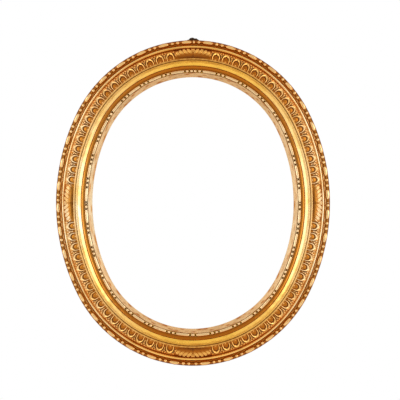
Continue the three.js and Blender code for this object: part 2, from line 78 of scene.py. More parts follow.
# Heights above the back of the rails.
FRONT_BASE = 18.2
LEDGE_HEIGHT = 19.2
OUTER_SEAT_HEIGHT = 21.5
GROOVE_HEIGHT = 25.0
FILLET_HEIGHT = 31.0
QUIRK_HEIGHT = 27.5
OVOLO_FOOT_HEIGHT = 28.5
OVOLO_TOP_HEIGHT = 45.0
RIDGE_HEIGHT = 47.0
BAND_TOP_HEIGHT = 45.0
BAND_FOOT_HEIGHT = 36.0
HOLLOW_HEIGHT = 30.0
INNER_SEAT_HEIGHT = 27.6
SLOPE_TOP_HEIGHT = 30.5
LIP_HEIGHT = 22.5

EGGS_PER_QUARTER = 17
CLASP_HALF_LENGTH = 36.0
JOINT_GAP = 0.06

QUARTER = math.pi / 2
SIDE_HALF = SIGHT_WIDTH / 2
END_HALF = SIGHT_HEIGHT / 2
SIGHT_END = SIDE_HALF - END_RADIUS_LESS
SIGHT_SIDE = (SIDE_HALF ** 2 + END_HALF ** 2 - 2 * END_HALF * SIGHT_END) / (2 * END_RADIUS_LESS)
END_CENTRE = END_HALF - SIGHT_END
SIDE_CENTRE = SIGHT_SIDE - SIDE_HALF
END_RADIUS = SIGHT_END + MOULDING_WIDTH
SIDE_RADIUS = SIGHT_SIDE + MOULDING_WIDTH
SIDE_ANGLE = math.atan2(END_CENTRE, SIDE_CENTRE)


def on_frame(phi, u, h):
    """Points, in metres, at normal directions phi."""
    phi, u, h = np.broadcast_arrays(phi, u, h)
    across = np.cos(phi)
    up = np.sin(phi)
    on_side = np.abs(np.arctan2(up, np.abs(across))) < SIDE_ANGLE
    radius = np.where(on_side, SIDE_RADIUS, END_RADIUS) - u
    centre_x = np.where(on_side, -np.sign(across) * SIDE_CENTRE, 0.0)
    centre_z = np.where(on_side, 0.0, np.sign(up) * END_CENTRE)
    points = np.stack([centre_x + radius * across, -h, centre_z + radius * up], axis=-1)
    return points * MM


def quarter_length(u):
    return (SIDE_RADIUS - u) * SIDE_ANGLE + (END_RADIUS - u) * (QUARTER - SIDE_ANGLE)


def heading(length, u):
    """Normal direction at a length along the oval u inside the outer edge, from the right-hand axis."""
    quarter = quarter_length(u)
    quadrant = np.floor(np.asarray(length) / quarter)
    rest = length - quadrant * quarter
    climbs = quadrant % 2 == 0
    from_side = np.where(climbs, rest, quarter - rest)
    side_length = (SIDE_RADIUS - u) * SIDE_ANGLE
    past = SIDE_ANGLE + (from_side - side_length) / (END_RADIUS - u)
    turn = np.where(from_side < side_length, from_side / (SIDE_RADIUS - u), past)
    return quadrant * QUARTER + np.where(climbs, turn, QUARTER - turn)


def rail_stations(quadrant, u, count):
    """Lengths along a quarter of the oval, clear of its joints, and the normal directions there."""
    quarter = quarter_length(u)
    along = np.linspace(JOINT_GAP / 2, quarter - JOINT_GAP / 2, count)
    return along, heading(quadrant * quarter + along, u)[:, None]


def smooth_step(low, high, value):
    t = np.clip((value - low) / (high - low), 0.0, 1.0)
    return t * t * (3 - 2 * t)


def smooth_max(a, b, soft):
    return 0.5 * (a + b + np.sqrt((a - b) ** 2 + soft ** 2))


def near(values, place, reach):
    return np.exp(-(((values - place) / reach) ** 2))


def wander(phi, seed, waves=30):
    """A slow hand-made wander from -1 to 1, the same again after each turn round the frame."""
    return (np.sin(waves * phi + seed) + np.sin(round(2.3 * waves) * phi + 2.1 * seed)) / 2


def streaks(phi, u, start, end, seed):
    """Long, uneven streaks of toning along a smooth strip, from 0 to 1."""
    across = (u - start) / (end - start)
    broad = wander(phi, seed, 13) * np.cos(math.pi * across)
    narrow = wander(phi, 2 * seed, 31) * np.cos(8 * across)
    streak = np.clip(0.3 + 0.7 * (broad + narrow), 0, 1)
    return np.where((across > 0) & (across < 1), streak, 0.0)


def sideways(phi):
    """1 at the sides of the frame and 0 at its top and bottom."""
    return np.cos(phi) ** 2


# How much deeper the gold is painted at the right side of the frame, with its left side at 0 and its
# ends at 1: the sides are painted paler as painted side light.
RIGHT_SIDE_SHADE = 0.28


def painted_end_shade(verts):
    """How much the gold at each point is painted deeper than at the lit left side: a painted side light,
    palest at the left side and deepest at the ends.
    """
    x, z = verts[:, 0], verts[:, 2]
    return (z ** 2 + RIGHT_SIDE_SHADE * np.maximum(x, 0) ** 2) / (x ** 2 + z ** 2 + MM ** 2)


# Meshes.
def make_mesh(name, verts, faces, materials, attributes=None, face_material=None):
    mesh = bpy.data.meshes.new(name)
    mesh.from_pydata([tuple(v) for v in verts], [], faces)
    # Every mesh carries the painted side light of the gold, palest at the left side and deepest at the
    # ends.
    attributes = {"end_shade": painted_end_shade(verts), **(attributes or {})}
    for key, values in attributes.items():
        layer = mesh.attributes.new(key, "FLOAT", "POINT")
        layer.data.foreach_set("value", np.asarray(values, np.float32).ravel())
    for material in materials:
        mesh.materials.append(material)
    if face_material is not None:
        mesh.polygons.foreach_set("material_index", np.asarray(face_material, np.int32))
    mesh.polygons.foreach_set("use_smooth", np.ones(len(mesh.polygons), bool))
    mesh.update()
    obj = bpy.data.objects.new(name, mesh)
    scene.collection.objects.link(obj)
    return obj


def sharpen(mesh, faces):
    """Sharp edges round some faces, so that their shading doesn't run into their neighbours."""
    for face in faces:
        polygon = mesh.polygons[face]
        for loop in polygon.loop_indices:
            mesh.edges[mesh.loops[loop].edge_index].use_edge_sharp = True


def loft(name, points, materials, attributes=None, strip_material=None):
    """A closed skin through rings of points[station, around], with flat ends."""
    stations, around = points.shape[:2]
    index = np.arange(stations * around).reshape(stations, around)
    right = np.roll(index, -1, axis=1)
    quads = np.stack([index[:-1], index[1:], right[1:], right[:-1]], axis=-1).reshape(-1, 4).tolist()
    faces = quads + [index[0].tolist(), index[-1][::-1].tolist()]
    face_material = None
    if strip_material is not None:
        face_material = np.concatenate([np.tile(strip_material, stations - 1), [0, 0]])
    obj = make_mesh(name, points.reshape(-1, 3), faces, materials, attributes, face_material)
    sharpen(obj.data, [len(faces) - 2, len(faces) - 1])
    return obj


def hoop(name, points, materials):
    """A ring-shaped skin through points[around, section]."""
    around, section = points.shape[:2]
    index = np.arange(around * section).reshape(around, section)
    right = np.roll(index, -1, 1)
    quads = np.stack([index, right, np.roll(right, -1, 0), np.roll(index, -1, 0)], -1)
    return make_mesh(name, points.reshape(-1, 3), quads.reshape(-1, 4).tolist(), materials)


def combine(obj, tool, operation):
    """Cut a tool out of a piece, or join it to the piece, and take the tool away."""
    modifier = obj.modifiers.new("combine", "BOOLEAN")
    modifier.operation = operation
    modifier.object = tool
    bpy.context.view_layer.update()
    mesh = bpy.data.meshes.new_from_object(obj.evaluated_get(bpy.context.evaluated_depsgraph_get()))
    obj.modifiers.clear()
    obj.data = mesh
    bpy.data.objects.remove(tool)


def crisp(obj, degrees):
    """Sharp shading at edges that turn by more than some degrees."""
    obj.data.set_sharp_from_angle(angle=math.radians(degrees))


def rounded(corners, radius, steps=3):
    """A closed section [u, h] with each corner eased over radius."""
    corners = np.asarray(corners, float)
    eased = []
    for before, corner, after in zip(np.roll(corners, 1, 0), corners, np.roll(corners, -1, 0)):
        ends = []
        for other in (before, after):
            reach = np.linalg.norm(other - corner)
            ends.append(corner + (other - corner) * min(radius / reach, 0.45))
        for t in np.linspace(0, 1, steps + 1):
            eased.append((1 - t) ** 2 * ends[0] + 2 * t * (1 - t) * corner + t ** 2 * ends[1])
    return np.array(eased)


def finely(section, longest):
    """The same closed section, with its long edges divided."""
    points = []
    for start, end in zip(section, np.roll(section, -1, 0)):
        steps = max(1, math.ceil(np.linalg.norm(end - start) / longest))
        points.extend(start + (end - start) * i / steps for i in range(steps))
    return np.array(points)


def circle(count):
    """Angles at equal steps once round."""
    return np.linspace(0, 2 * math.pi, count, endpoint=False)


def arc(u, h, radius_u, radius_h, start, end, steps):
    """Points [u, h] along an arc, with its ends in degrees."""
    t = np.radians(np.linspace(start, end, steps + 1))
    return np.stack([u + radius_u * np.cos(t), h + radius_h * np.sin(t)], axis=-1)


# Materials.
class Nodes:
    """The node tree of a material or a world, with short calls for the nodes used here."""

    def __init__(self, owner, shader="Principled BSDF"):
        owner.use_nodes = True
        self.owner = owner
        self.tree = owner.node_tree
        self.shader = self.tree.nodes[shader]

    def add(self, kind, **values):
        node = self.tree.nodes.new(kind)
        for key, value in values.items():
            setattr(node, key, value)
        return node

    def link(self, source, target):
        self.tree.links.new(source, target)

    def feed(self, socket, value):
        if hasattr(value, "is_output"):
            self.link(value, socket)
        else:
            socket.default_value = value

    def attribute(self, name):
        return self.add("ShaderNodeAttribute", attribute_name=name).outputs["Fac"]

    def place(self):
        return self.add("ShaderNodeTexCoord").outputs["Object"]

    def noise(self, scale, detail=4.0, rough=0.55, stretch=None):
        node = self.add("ShaderNodeTexNoise")
        place = self.place()
        if stretch:
            mapping = self.add("ShaderNodeMapping")
            mapping.inputs["Scale"].default_value = stretch
            self.link(place, mapping.inputs["Vector"])
            place = mapping.outputs["Vector"]
        self.link(place, node.inputs["Vector"])
        node.inputs["Scale"].default_value = scale
        node.inputs["Detail"].default_value = detail
        node.inputs["Roughness"].default_value = rough
        return node.outputs["Fac"]

    def span(self, value, low, high, to_low=0.0, to_high=1.0):
        node = self.add("ShaderNodeMapRange", interpolation_type="SMOOTHSTEP")
        self.feed(node.inputs["Value"], value)
        limits = {"From Min": low, "From Max": high, "To Min": to_low, "To Max": to_high}
        for key, number in limits.items():
            node.inputs[key].default_value = number
        return node.outputs["Result"]

    def math(self, operation, a, b=0.0):
        node = self.add("ShaderNodeMath", operation=operation, use_clamp=True)
        self.feed(node.inputs[0], a)
        self.feed(node.inputs[1], b)
        return node.outputs[0]

    def between(self, factor, a, b):
        """A number from a to b."""
        node = self.add("ShaderNodeMix")
        self.feed(node.inputs[0], factor)
        self.feed(node.inputs[2], a)
        self.feed(node.inputs[3], b)
        return node.outputs[0]

    def mix(self, factor, a, b):
        """A colour from a to b."""
        node = self.add("ShaderNodeMix", data_type="RGBA")
        self.feed(node.inputs[0], factor)
        self.feed(node.inputs[6], a)
        self.feed(node.inputs[7], b)
        return node.outputs[2]

    def bump(self, height, strength, distance):
        node = self.add("ShaderNodeBump")
        self.link(height, node.inputs["Height"])
        node.inputs["Strength"].default_value = strength
        node.inputs["Distance"].default_value = distance
        self.link(node.outputs["Normal"], self.shader.inputs["Normal"])

    def set(self, key, value):
        self.feed(self.shader.inputs[key], value)


def darker(colour, share):
    return (*(share * c for c in colour[:3]), 1)


# In the hollows of the gold and under it: amber toning with painted shade, painted paler at the lit
# sides of the frame than at its ends, umber grime with painted shade in the deepest hollows, and clay.
SIDE_AMBER_SHADE = (0.54, 0.21, 0.022, 1)
END_AMBER_SHADE = (0.46, 0.125, 0.006, 1)
UMBER_GRIME_AND_SHADE = (0.070, 0.027, 0.009, 1)
CLAY = (0.55, 0.22, 0.09, 1)


def toned_and_shaded_leaf(n, leaf, deep, toning_and_shade):
    """The colour of gold leaf: painted paler at the lit sides of the frame than at its ends, deeper in
    patches, and amber with painted shade in hollows.
    """
    end_shade = n.attribute("end_shade")
    colour = n.mix(end_shade, leaf, deep)
    broad = n.span(n.noise(9.0, 2.0), 0.42, 0.68, 0.0, 0.5)
    colour = n.mix(broad, colour, deep)
    patches = n.span(n.noise(38.0, 5.0), 0.42, 0.72, 0.0, 0.6)
    colour = n.mix(patches, colour, darker(deep, 0.8))
    return n.mix(n.span(toning_and_shade, 0.05, 0.55), colour, n.mix(end_shade, SIDE_AMBER_SHADE, END_AMBER_SHADE))


def gilding(name, leaf, deep, rough, worn):
    """Gold leaf, with umber grime and painted shade in its deepest hollows, and rubbed down to its clay
    where it is worn.
    """
    n = Nodes(bpy.data.materials.new(name))
    # The mask read here is amber toning together with painted shade in hollows and on the less lit parts
    # of the frame.
    toning_and_shade = n.attribute("toning_and_shade")
    colour = toned_and_shaded_leaf(n, leaf, deep, toning_and_shade)
    dirt_and_shade = n.span(toning_and_shade, 0.5, 1.0)
    grime_and_shade = n.math("MULTIPLY", dirt_and_shade, n.span(n.noise(130.0, 4.0), 0.25, 0.6, 0.7, 0.95))
    colour = n.mix(grime_and_shade, colour, UMBER_GRIME_AND_SHADE)
    flecks = n.span(n.noise(240.0, 3.0), 0.66, 0.80, 0.0, 0.3 * worn)
    edges = n.math("MULTIPLY", n.attribute("wear"), n.span(n.noise(110.0, 3.0), 0.5, 0.68, 0.0, worn))
    rubbed = n.math("ADD", flecks, edges)
    n.set("Base Color", n.mix(rubbed, colour, CLAY))
    bare = n.math("ADD", n.math("MULTIPLY", rubbed, 0.4), n.math("MULTIPLY", grime_and_shade, 0.5))
    n.set("Metallic", n.math("SUBTRACT", 1.0, bare))
    n.set("Roughness", n.math("ADD", n.span(n.noise(60.0, 4.0), 0.3, 0.75, rough, rough + 0.12), grime_and_shade))
    n.set("Specular IOR Level", 0.15)
    n.set("Coat Weight", 0.08)
    n.set("Coat Roughness", 0.22)
    n.bump(n.noise(300.0, 4.0), 0.25 * worn, 0.0006)
    return n.owner


def wood(name, pale, dark, rough, grain):
    """Bare wood, whose grain runs along the axes that have the small numbers."""
    n = Nodes(bpy.data.materials.new(name))
    lines = n.span(n.noise(26.0, 6.0, 0.6, grain), 0.35, 0.65)
    pores = n.span(n.noise(240.0, 3.0, 0.6, grain), 0.55, 0.70, 0.0, 0.6)
    stain = n.span(n.noise(9.0, 3.0), 0.35, 0.7, 0.0, 0.45)
    colour = n.mix(lines, pale, dark)
    colour = n.mix(pores, colour, darker(dark, 0.45))
    colour = n.mix(stain, colour, darker(dark, 0.6))
    n.set("Base Color", colour)
    n.set("Roughness", n.span(n.noise(60.0), 0.3, 0.7, rough, rough + 0.12))
    n.bump(n.noise(200.0, 4.0, 0.6, grain), 0.4, 0.0008)
    return n.owner


def metal(name, bright, dull, tarnish, rough, scale, relief):
    """Old metal, dulled in patches and tarnished in spots."""
    n = Nodes(bpy.data.materials.new(name))
    colour = n.mix(n.span(n.noise(scale, 5.0), 0.35, 0.7), bright, dull)
    spots = n.span(n.noise(4 * scale, 4.0), 0.55, 0.72)
    n.set("Base Color", n.mix(spots, colour, tarnish))
    n.set("Metallic", n.math("SUBTRACT", 1.0, n.math("MULTIPLY", spots, 0.7)))
    n.set("Roughness", n.span(n.noise(2 * scale), 0.3, 0.7, rough, rough + 0.25))
    n.set("Specular IOR Level", 0.2)
    n.bump(n.noise(3 * scale, 5.0), 0.5, relief)
    return n.owner


# The first colour of each gilding is its gold painted paler, as painted light at the lit sides of the
# frame; the second is its deeper gold at the ends and in patches.
CARVED = gilding("gilt_carved", (1.0, 0.84, 0.54, 1), (1.0, 0.54, 0.12, 1), rough=0.24, worn=0.40)
OLIVES = gilding("gilt_olives", (1.0, 0.75, 0.40, 1), (1.0, 0.61, 0.22, 1), rough=0.20, worn=0.40)
BARS = gilding("gilt_bars", (1.0, 0.79, 0.48, 1), (0.96, 0.64, 0.31, 1), rough=0.22, worn=0.40)
BURNISHED = gilding("gilt_burnished", (1.0, 0.80, 0.47, 1), (1.0, 0.55, 0.075, 1), rough=0.20, worn=0.12)
SIGHT_GILT = gilding("gilt_sight", (0.74, 0.58, 0.36, 1), (0.80, 0.51, 0.24, 1), rough=0.55, worn=0.30)
PALE_PINE = (0.44, 0.27, 0.12, 1)
DARK_PINE = (0.25, 0.13, 0.05, 1)
PINE = (wood("bare_wood_upright", PALE_PINE, DARK_PINE, rough=0.62, grain=(9.0, 1.0, 0.7)),
        wood("bare_wood_level", PALE_PINE, DARK_PINE, rough=0.62, grain=(0.7, 1.0, 9.0)))
KEY_WOOD = wood("key_wood", (0.25, 0.125, 0.05, 1), (0.15, 0.07, 0.028, 1),
                rough=0.55, grain=(9.0, 1.0, 1.0))
IRON = metal("iron", (0.085, 0.054, 0.030, 1), (0.042, 0.026, 0.014, 1), (0.13, 0.055, 0.02, 1),
             rough=0.5, scale=160.0, relief=0.0008)
BRASS = metal("brass", (0.62, 0.43, 0.15, 1), (0.42, 0.26, 0.07, 1), (0.16, 0.09, 0.03, 1),
              rough=0.26, scale=120.0, relief=0.0002)


def dress(obj, slot, body, *nodes):
    """Put a piece in place of its solids, on the body that carries them."""
    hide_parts(*nodes)
    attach(obj, body)


# The carved course: a convex arc from its outer foot up to the ridge.
OVOLO_START = math.radians(170)
OVOLO_END = math.radians(92)
OVOLO_MID = (U_OVOLO + U_RIDGE) / 2
OVOLO_WIDTH = U_RIDGE - U_OVOLO
OVOLO_RISE = OVOLO_TOP_HEIGHT - OVOLO_FOOT_HEIGHT
OVOLO_RADIUS_U = OVOLO_WIDTH / (math.cos(OVOLO_END) - math.cos(OVOLO_START))
OVOLO_RADIUS_H = OVOLO_RISE / (math.sin(OVOLO_END) - math.sin(OVOLO_START))
OVOLO_U = U_OVOLO - OVOLO_RADIUS_U * math.cos(OVOLO_START)
OVOLO_H = OVOLO_FOOT_HEIGHT - OVOLO_RADIUS_H * math.sin(OVOLO_START)


def ovolo(steps):
    """Points and outward normals across the convex course, from its outer foot."""
    t = np.linspace(OVOLO_START, OVOLO_END, steps + 1)
    points = np.stack([OVOLO_U + OVOLO_RADIUS_U * np.cos(t), OVOLO_H + OVOLO_RADIUS_H * np.sin(t)], -1)
    normals = np.stack([np.cos(t) / OVOLO_RADIUS_U, np.sin(t) / OVOLO_RADIUS_H], -1)
    return points, normals / np.linalg.norm(normals, axis=1, keepdims=True)


# Eggs in arches closed on the outer side, with darts between them. Sizes are as seen from the front.
ARCH_HALF_WIDTH = 7.0
ARCH_CENTRE = 14.2
ARCH_DEPTH = 9.8
RIM_WIDTH = 1.5
RIM_RISE = 1.6
RIM_FALL = 1.2
GROUND = -1.7
EGG_HALF_WIDTH = 4.6
EGG_HALF_LENGTH = 6.6
EGG_CENTRE = 14.0
EGG_RISE = 0.8
EGG_STRAY_ALONG = 0.4
EGG_STRAY_INWARDS = 0.35
FOOT_BEAD = 1.3
FOOT_BEAD_RISE = 2.8
DART_LEVEL = 0.2
DART_FALL = 0.9
SPINE_WIDTH = 0.8
SPINE_RISE = 0.8
STROKES = 26
STROKE_RISE = 0.5
SOFT_EDGE = 0.15
# How dark the egg hollows and the ground between the arches are painted: toning with painted shade.
HOLLOW_TONE_AND_SHADE = 0.60
PLAIN_LEVEL = -0.5
PLAIN_TONE = 0.6


def egg_and_dart(x, v, pitch):
    """Relief, and toning with painted shade and highlight, at x along from the middle of an egg and v
    inwards from the outer foot.
    """
    outward = np.minimum(v - ARCH_CENTRE, 0.0)
    rim = (np.hypot(x / ARCH_HALF_WIDTH, outward / ARCH_DEPTH) - 1) * ARCH_HALF_WIDTH
    ball = 1 - (x / EGG_HALF_WIDTH) ** 2 - ((v - EGG_CENTRE) / EGG_HALF_LENGTH) ** 2
    egg = GROUND + EGG_RISE * np.sqrt(np.maximum(ball, 0))
    strokes = np.cos(STROKES * np.arctan2(x, 1.0 - outward)) * smooth_step(2.2, 3.2, rim)
    spine = near(pitch / 2 - np.abs(x), 0.0, SPINE_WIDTH) * smooth_step(5.0, 9.0, v)
    level = DART_LEVEL - DART_FALL * smooth_step(8.0, 16.0, v)
    dart = GROUND + (level - GROUND) * smooth_step(1.5, 2.4, rim)
    dart = dart + STROKE_RISE * strokes + SPINE_RISE * spine
    crest = near(rim, 0.0, RIM_WIDTH)
    rise = RIM_RISE - GROUND - RIM_FALL * smooth_step(9.0, 18.0, v)
    relief = smooth_max(np.where(rim < 0, egg, dart), GROUND + rise * crest, SOFT_EDGE)
    bead = 1 - (x / FOOT_BEAD) ** 2 - ((v - OVOLO_WIDTH + FOOT_BEAD) / FOOT_BEAD) ** 2
    relief = smooth_max(relief, GROUND + FOOT_BEAD_RISE * np.sqrt(np.maximum(bead, 0)), SOFT_EDGE)
    # Painted shade and highlight: the egg hollows and the ground between the arches are dark, the ground
    # is painted lighter near the outer foot, on the dart spines and towards the ridge, thin painted
    # shadows lie inside and outside each rim, and the rim crests are painted light.
    between = HOLLOW_TONE_AND_SHADE - 0.40 * smooth_step(7.0, 1.5, v) + 0.45 * strokes - 0.35 * spine
    tone_and_shade = np.where(rim < 0, HOLLOW_TONE_AND_SHADE, between) - 0.14 * smooth_step(12.0, 16.0, v)
    tone_and_shade = tone_and_shade + 0.3 * near(rim, -2.0, 0.7) + 0.35 * near(rim, 2.0, 0.6)
    tone_and_shade = tone_and_shade + (0.3 * smooth_step(12.0, 17.0, v) - tone_and_shade) * smooth_step(0.3, 0.7, crest)
    return relief, np.clip(np.where(bead > 0, 0.1, tone_and_shade), 0, 1)


def carved_relief(along, v, seed):
    """Relief, and toning with painted shade, of a quarter of the course: plain under the clasps, eggs
    between them.
    """
    quarter = quarter_length(OVOLO_MID)
    pitch = (quarter - 2 * CLASP_HALF_LENGTH) / EGGS_PER_QUARTER
    step = (along - CLASP_HALF_LENGTH) / pitch
    x = (step - np.floor(step) - 0.5) * pitch
    uneven = np.sin(2.4 * np.floor(step) + seed)
    stray = EGG_STRAY_INWARDS * np.cos(5.0 * uneven)
    relief, tone_and_shade = egg_and_dart(x + EGG_STRAY_ALONG * uneven, v + stray, pitch)
    from_end = np.minimum(along, quarter - along) - CLASP_HALF_LENGTH
    carved = smooth_step(0.0, 1.0, from_end)
    edge = smooth_step(0.0, 0.8, v) * smooth_step(0.0, 0.6, OVOLO_WIDTH - v)
    relief = (PLAIN_LEVEL + (relief - PLAIN_LEVEL) * carved) * edge
    return relief, PLAIN_TONE + (tone_and_shade - PLAIN_TONE) * carved


# The rest of a carved rail: its inset at the outer edge, its eased edges, its play beside the liner,
# the steps of its mesh and the waves that handwork leaves.
RAIL_INSET = 0.3
OUTER_FACE = 1.5
RAIL_EASE = 0.3
RIDGE_EASE = 1.3
RIDGE_SLANT = 0.3
RIDGE_PLAY = 0.15
FILLET_STEPS = 16
COURSE_STEPS = 64
COURSE_STATIONS = 860
HAND_WAVE = 0.25


def carved_section(points):
    """The closed section of a carved rail, and the index of the first point of its convex course.

    Eased points that would lead from one run of corners back to its start are left off.
    """
    half = (U_QUIRK - U_FILLET) / 2
    fillet = arc(U_FILLET + half, FILLET_HEIGHT - half, half, half, 180, 15, FILLET_STEPS)
    outer = rounded([[RAIL_INSET, FRONT_BASE], [RAIL_INSET, OUTER_SEAT_HEIGHT],
                     [U_GROOVE, OUTER_SEAT_HEIGHT], [U_GROOVE, GROOVE_HEIGHT],
                     [U_FILLET, GROOVE_HEIGHT]], RAIL_EASE)[2:-4]
    wall = U_BAND - RIDGE_PLAY
    inner = rounded([[U_RIDGE, OVOLO_TOP_HEIGHT], [U_RIDGE + RIDGE_SLANT, RIDGE_HEIGHT],
                     [wall, RIDGE_HEIGHT], [wall, FRONT_BASE]], RIDGE_EASE, 6)[8:-3]
    section = np.concatenate([outer, fillet, [[U_QUIRK, QUIRK_HEIGHT]], points, inner])
    return section, len(outer) + len(fillet) + 1


# At the sides the outer courses of the old frame stand a little further in: by how much, at each u.
SIDE_DRIFT_U = (0.0, U_GROOVE, U_FILLET, U_QUIRK, U_OVOLO)
SIDE_DRIFT = (1.2, 2.2, 2.3, 0.9, 0.0)
BEAD_DRIFT = 1.6


def carved_toning_and_shade(u, course, phi, tone_and_shade):
    """Toning and painted shade across a carved rail, from its groove to its ridge: paler at the lit
    sides of the frame, with a painted shadow on the ridge beside the liner, and darkest on its foot.
    """
    side = sideways(phi)
    groove = slice(0, course.start - FILLET_STEPS)
    fillet = slice(groove.stop, course.start - 2)
    quirk = slice(fillet.stop, course.start + 2)
    ridge = slice(course.stop, -2)
    foot = slice(ridge.stop, None)
    toning_and_shade = np.zeros((len(phi), len(u)))
    # Painted shade in the carving, the groove, the outer face and the quirk, and on the ridge, lighter
    # at the lit sides of the frame except on the outer face.
    toning_and_shade[:, course] = tone_and_shade - 0.22 * side * smooth_step(7.0, 2.0, u[course] - U_OVOLO)
    toning_and_shade[:, groove] = np.where(u[groove] < OUTER_FACE, 0.75, 0.55 - 0.15 * side)
    toning_and_shade[:, fillet] = 0.02 + 0.08 * wander(phi, 4.0, 60)
    toning_and_shade[:, quirk] = 0.65 - 0.55 * side
    toning_and_shade[:, ridge] = 0.28 - 0.24 * side + 0.08 * wander(phi, 2.0, 70)
    toning_and_shade[:, ridge] += smooth_step(U_BAND - 1.4, U_BAND - 0.7, u[ridge]) * (0.55 + 0.15 * side)
    toning_and_shade[:, foot] = 1.0
    return toning_and_shade


def carved_end_shade(points, course, phi):
    """The painted side light of the gold on a carved rail: evener on its ridge, and outside its carving
    given by the side of the frame alone.
    """
    end_shade = painted_end_shade(points.reshape(-1, 3)).reshape(points.shape[:2])
    end_shade[:, course.stop:] = 0.55 + 0.45 * end_shade[:, course.stop:]
    end_shade[:, :course.start] = 1 - 0.9 * sideways(phi)
    return end_shade


def carved_rail(quadrant):
    points, normals = ovolo(COURSE_STEPS)
    section, first = carved_section(points)
    course = slice(first, first + len(points))
    fillet = slice(first - FILLET_STEPS - 2, first - 1)
    along, phi = rail_stations(quadrant, OVOLO_MID, COURSE_STATIONS)
    relief, tone_and_shade = carved_relief(along[:, None], points[None, :, 0] - U_OVOLO, quadrant)
    u = np.tile(section[:, 0], (len(along), 1))
    h = np.tile(section[:, 1], (len(along), 1))
    u[:, course] += normals[:, 0] * relief
    h[:, course] += normals[:, 1] * relief
    h[:, fillet] += HAND_WAVE * wander(phi, 1.0)
    u[:, :first] += sideways(phi) * np.interp(section[:first, 0], SIDE_DRIFT_U, SIDE_DRIFT)
    points = on_frame(phi, u, h)
    wear = np.zeros_like(u)
    wear[:, course] = smooth_step(0.7, 1.2, relief)
    wear[:, course.stop:-2] = 0.2
    attributes = {"toning_and_shade": carved_toning_and_shade(section[:, 0], course, phi, tone_and_shade), "wear": wear,
                  "end_shade": carved_end_shade(points, course, phi)}
    obj = loft(f"carved_course_{QUADRANTS[quadrant]}", points, [CARVED], attributes)
    dress(obj, "gilt_carved", "frame", f"carved_rail_{QUADRANTS[quadrant]}")


# The liner: its play beside the ridge, its eased edges, the sag of its band and the crown of its slope.
LINER_PLAY = 0.1
LINER_EASE = 0.6
BAND_SAG = 0.6
SLOPE_CROWN = 0.6
SLOPE_SLANT = 0.6
LINER_STEP = 1.2
LINER_STATIONS = 260


def liner_section():
    foot = BAND_FOOT_HEIGHT - LINER_EASE
    hollow = arc(U_INNER_SEAT, foot, U_INNER_SEAT - U_HOLLOW, foot - HOLLOW_HEIGHT, 180, 270, 10)
    outer = U_BAND + LINER_PLAY
    corners = [[outer, FRONT_BASE], [outer, BAND_TOP_HEIGHT], [outer + LINER_EASE, BAND_TOP_HEIGHT],
               [(U_BAND + U_HOLLOW) / 2, (BAND_TOP_HEIGHT + BAND_FOOT_HEIGHT) / 2 - BAND_SAG],
               [U_HOLLOW, BAND_FOOT_HEIGHT], *hollow, [U_INNER_SEAT, INNER_SEAT_HEIGHT],
               [U_SLOPE, INNER_SEAT_HEIGHT], [U_SLOPE + SLOPE_SLANT, SLOPE_TOP_HEIGHT],
               [(U_SLOPE + MOULDING_WIDTH) / 2, (SLOPE_TOP_HEIGHT + LIP_HEIGHT) / 2 + SLOPE_CROWN],
               [MOULDING_WIDTH, LIP_HEIGHT], [MOULDING_WIDTH, LEDGE_HEIGHT],
               [U_LEDGE, LEDGE_HEIGHT], [U_LEDGE, FRONT_BASE]]
    return finely(rounded(corners, LINER_EASE), LINER_STEP)


def liner_toning_and_shade(u, phi):
    """Toning, painted shade and wear across a liner: a painted shadow beside the ridge, amber with
    painted shade in the hollow, and streaks.
    """
    # Painted shadow beside the ridge and a little painted shade by the inner beads, and painted shade in
    # the hollow.
    deep = 0.15 * near(u, U_INNER_BEAD, 1.4) + 0.75 * near(u, U_BAND + LINER_PLAY, 0.45)
    deep += 0.5 * smooth_step(U_HOLLOW, U_HOLLOW + 2.0, u) * (u < U_INNER_BEAD)
    toning_and_shade = np.tile(np.clip(deep, 0, 1), (len(phi), 1))
    toning_and_shade += 0.42 * streaks(phi, u, U_SLOPE, MOULDING_WIDTH, 5.0)
    toning_and_shade += 0.22 * streaks(phi, u, U_BAND + 2.0, U_HOLLOW, 2.0)
    # Painted shadow along the top of the band at the ends of the frame.
    toning_and_shade += 0.27 * (1 - sideways(phi)) * near(u, U_BAND + 2.0, 1.6)
    worn = 0.3 * near(u, U_HOLLOW, 0.8) + near(u, MOULDING_WIDTH, 0.8)
    return {"toning_and_shade": toning_and_shade, "wear": np.tile(np.clip(worn, 0, 1), (len(phi), 1))}


def liner(quadrant):
    section = liner_section()
    _, phi = rail_stations(quadrant, U_HOLLOW, LINER_STATIONS)
    front = smooth_step(LEDGE_HEIGHT + 1, LEDGE_HEIGHT + 4, section[:, 1])
    points = on_frame(phi, section[:, 0], section[:, 1] + HAND_WAVE * wander(phi, 3.0) * front)
    strip = (section[:, 0] > U_SLOPE - 0.1).astype(int)
    obj = loft(f"burnished_liner_{QUADRANTS[quadrant]}", points, [BURNISHED, SIGHT_GILT],
               liner_toning_and_shade(section[:, 0], phi), strip)
    dress(obj, "gilt_burnished", "frame", f"liner_{QUADRANTS[quadrant]}")


# Bead courses. A bead has a length, a radius and a bluntness, and a neck follows it.
# The foot of a strip is a share of its neck, and the arc of a bead is in degrees from the sight side.
OLIVE = (19.7, 4.2, 2.0)
OUTER_PEARL = (5.4, 3.8, 2.2)
BAR = (26.2, 3.1, 5.0)
INNER_PEARL = (5.4, 2.9, 2.2)
LONG_BEAD = 10.0
LONG_STEPS = 25
SHORT_STEPS = 15
LEAST_STEP = 0.05
BEAD_GLUE = 0.2
BEAD_BACKING = 2.6
BEAD_FOOT = 0.75
BEAD_ARC_START = 200
BEAD_ARC_END = -20
BEAD_ARC_POINTS = 23


